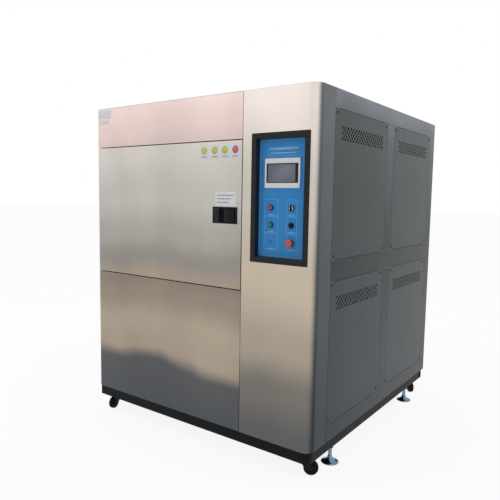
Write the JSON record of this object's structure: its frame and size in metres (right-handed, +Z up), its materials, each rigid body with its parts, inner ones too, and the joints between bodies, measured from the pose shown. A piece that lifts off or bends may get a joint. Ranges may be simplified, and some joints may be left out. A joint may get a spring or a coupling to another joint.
{
  "type": "environmental test chamber",
  "caption": "Upright stainless thermal test chamber on castors and levelling feet, with a side-hinged door, pull latch and a control column with touchscreen.",
  "frame": {"origin": "on the floor under the middle of the cabinet's body", "axes": "+X to the right seen from the front, +Y to the back, +Z up"},
  "size_m": [1.5705, 1.6485, 1.87],
  "materials": {
    "stainless_skin": "brushed stainless",
    "stainless_inner": "satin stainless",
    "frame_steel": "grey paint",
    "base_black": "satin black",
    "insulation_wool": "fibre slabs",
    "gasket_rubber": "silicone",
    "black_plastic": "satin",
    "blue_panel": "printed blue",
    "white_plastic": "gloss",
    "screen_glass": "dark display",
    "red_plastic": "gloss",
    "green_plastic": "gloss",
    "silver_metal": "satin",
    "foot_chrome": "polished",
    "castor_rubber": "black wheel",
    "castor_steel": "black",
    "coil_aluminium": "fins",
    "machine_grey": "enamel",
    "compressor_black": "enamel",
    "switchgear": "moulded",
    "screw_steel": "black"
  },
  "bodies": {
    "cabinet": {"base_frame": "base_black", "castor_and_foot_plates": "base_black", "cabinet_frame": "frame_steel", "column_cover": "stainless_skin", "lower_front_cover": "stainless_skin", "upper_front_cover": "stainless_skin", "door_frame": "stainless_inner", "roof_panel": "stainless_skin", "right_side_strips": "stainless_skin", "right_lower_vent_panels": "stainless_skin", "right_upper_vent_panels": "stainless_skin", "left_side_panels": "stainless_skin", "back_panels": "stainless_skin", "panel_screws": "screw_steel", "insulation": "insulation_wool", "zone_liners": "stainless_inner", "damper_actuators": "machine_grey", "heater_rods": "stainless_inner", "fan_motors": "machine_grey", "evaporator_coil": "coil_aluminium", "compressors": "compressor_black", "condenser_coil": "coil_aluminium", "electrical_panel": "switchgear", "control_bezel": "black_plastic", "control_panel": "blue_panel", "touchscreen_housing": "white_plastic", "touchscreen_glass": "screen_glass", "switch_bodies": "black_plastic", "hinge_frame_leaves": "silver_metal"},
    "door": {"door_skin": "stainless_skin", "door_core": "insulation_wool", "door_liner": "stainless_inner", "door_gasket": "gasket_rubber", "hinge_door_leaves": "silver_metal", "latch_housing": "black_plastic"},
    "latch_paddle": {"latch_paddle": "black_plastic"},
    "latch_bolt": {"latch_bolt": "silver_metal"},
    "shelf": {"shelf": "stainless_inner"},
    "selector_knob": {"selector_knob": "silver_metal"},
    "estop_button": {"estop_button": "red_plastic"},
    "hot_fan": {"hot_fan": "coil_aluminium"},
    "cold_fan": {"cold_fan": "coil_aluminium"},
    "condenser_fan": {"condenser_fan": "black_plastic"},
    "hot_damper": {"hot_damper": "stainless_inner"},
    "cold_damper": {"cold_damper": "stainless_inner"},
    "red_button": {"red_button": "red_plastic"},
    "green_button": {"green_button": "green_plastic"},
    "black_button": {"black_button": "black_plastic"},
    "castor_fork_front_left": {"castor_fork_front_left": "castor_steel"},
    "castor_wheel_front_left": {"castor_wheel_front_left": "castor_rubber"},
    "levelling_foot_front_left": {"levelling_foot_front_left": "foot_chrome"},
    "castor_fork_front_right": {"castor_fork_front_right": "castor_steel"},
    "castor_wheel_front_right": {"castor_wheel_front_right": "castor_rubber"},
    "levelling_foot_front_right": {"levelling_foot_front_right": "foot_chrome"},
    "castor_fork_rear_left": {"castor_fork_rear_left": "castor_steel"},
    "castor_wheel_rear_left": {"castor_wheel_rear_left": "castor_rubber"},
    "levelling_foot_rear_left": {"levelling_foot_rear_left": "foot_chrome"},
    "castor_fork_rear_right": {"castor_fork_rear_right": "castor_steel"},
    "castor_wheel_rear_right": {"castor_wheel_rear_right": "castor_rubber"},
    "levelling_foot_rear_right": {"levelling_foot_rear_right": "foot_chrome"}
  },
  "joints": [
    {"name": "door_hinge", "type": "hinge", "parent": "cabinet", "child": "door", "pos_m": [-0.778, -0.76, 1.26284], "axis": [0, 0, -1], "range_deg": [0, 110]},
    {"name": "latch_turn", "type": "hinge", "parent": "door", "child": "latch_paddle", "pos_m": [0.302, -0.81, 1.26284], "axis": [0, 0, 1], "range_deg": [0, 30], "stiffness_Nm_per_rad": 0.5},
    {"name": "latch_bolt_slide", "type": "slide", "parent": "door", "child": "latch_bolt", "axis": [-1, 0, 0], "range_m": [0, 0.012]},
    {"name": "shelf_slide", "type": "slide", "parent": "cabinet", "child": "shelf", "axis": [0, -1, 0], "range_m": [0, 0.09]},
    {"name": "selector_turn", "type": "hinge", "parent": "cabinet", "child": "selector_knob", "pos_m": [0.625, -0.792, 1.308], "axis": [0, 1, 0], "range_deg": [0, 90]},
    {"name": "estop_press", "type": "slide", "parent": "cabinet", "child": "estop_button", "axis": [0, 1, 0], "range_m": [0, 0.005]},
    {"name": "red_button_press", "type": "slide", "parent": "cabinet", "child": "red_button", "axis": [0, 1, 0], "range_m": [0, 0.003], "stiffness_N_per_m": 1000},
    {"name": "green_button_press", "type": "slide", "parent": "cabinet", "child": "green_button", "axis": [0, 1, 0], "range_m": [0, 0.003], "stiffness_N_per_m": 1000},
    {"name": "black_button_press", "type": "slide", "parent": "cabinet", "child": "black_button", "axis": [0, 1, 0], "range_m": [0, 0.003], "stiffness_N_per_m": 1000},
    {"name": "hot_fan_spin", "type": "hinge", "parent": "cabinet", "child": "hot_fan", "pos_m": [-0.2081, -0.0505, 1.6574], "axis": [0, 1, 0], "continuous": true},
    {"name": "cold_fan_spin", "type": "hinge", "parent": "cabinet", "child": "cold_fan", "pos_m": [-0.2081, -0.0505, 0.80788], "axis": [0, 1, 0], "continuous": true},
    {"name": "condenser_fan_spin", "type": "hinge", "parent": "cabinet", "child": "condenser_fan", "pos_m": [-0.2081, 0.6585, 0.33516], "axis": [0, 1, 0], "continuous": true},
    {"name": "hot_damper_turn", "type": "hinge", "parent": "cabinet", "child": "hot_damper", "pos_m": [-0.2081, -0.4305, 1.5756], "axis": [-1, 0, 0], "range_deg": [0, 80]},
    {"name": "cold_damper_turn", "type": "hinge", "parent": "cabinet", "child": "cold_damper", "pos_m": [-0.2081, -0.4305, 0.95008], "axis": [1, 0, 0], "range_deg": [0, 80]},
    {"name": "castor_swivel_front_left", "type": "hinge", "parent": "cabinet", "child": "castor_fork_front_left", "pos_m": [-0.694, -0.736, 0.0775], "axis": [0, 0, 1], "continuous": true},
    {"name": "castor_roll_front_left", "type": "hinge", "parent": "castor_fork_front_left", "child": "castor_wheel_front_left", "pos_m": [-0.68652, -0.77121, 0.0375], "axis": [0.9781, 0.2079, 0], "continuous": true},
    {"name": "foot_screw_front_left", "type": "slide", "parent": "cabinet", "child": "levelling_foot_front_left", "axis": [0, 0, 1], "range_m": [0, 0.03]},
    {"name": "castor_swivel_front_right", "type": "hinge", "parent": "cabinet", "child": "castor_fork_front_right", "pos_m": [0.694, -0.736, 0.0775], "axis": [0, 0, 1], "continuous": true},
    {"name": "castor_roll_front_right", "type": "hinge", "parent": "castor_fork_front_right", "child": "castor_wheel_front_right", "pos_m": [0.72549, -0.71855, 0.0375], "axis": [-0.4848, 0.8746, 0], "continuous": true},
    {"name": "foot_screw_front_right", "type": "slide", "parent": "cabinet", "child": "levelling_foot_front_right", "axis": [0, 0, 1], "range_m": [0, 0.03]},
    {"name": "castor_swivel_rear_left", "type": "hinge", "parent": "cabinet", "child": "castor_fork_rear_left", "pos_m": [-0.694, 0.736, 0.0775], "axis": [0, 0, 1], "continuous": true},
    {"name": "castor_roll_rear_left", "type": "hinge", "parent": "castor_fork_rear_left", "child": "castor_wheel_rear_left", "pos_m": [-0.72783, 0.74831, 0.0375], "axis": [-0.342, -0.9397, 0], "continuous": true},
    {"name": "foot_screw_rear_left", "type": "slide", "parent": "cabinet", "child": "levelling_foot_rear_left", "axis": [0, 0, 1], "range_m": [0, 0.03]},
    {"name": "castor_swivel_rear_right", "type": "hinge", "parent": "cabinet", "child": "castor_fork_rear_right", "pos_m": [0.694, 0.736, 0.0775], "axis": [0, 0, 1], "continuous": true},
    {"name": "castor_roll_rear_right", "type": "hinge", "parent": "castor_fork_rear_right", "child": "castor_wheel_rear_right", "pos_m": [0.71901, 0.7101, 0.0375], "axis": [0.7193, 0.6947, 0], "continuous": true},
    {"name": "foot_screw_rear_right", "type": "slide", "parent": "cabinet", "child": "levelling_foot_rear_right", "axis": [0, 0, 1], "range_m": [0, 0.03]}
  ],
  "couplings": [
    {"joint": "latch_bolt_slide", "follows": "latch_turn", "m_per_rad": 0.022918}
  ]
}
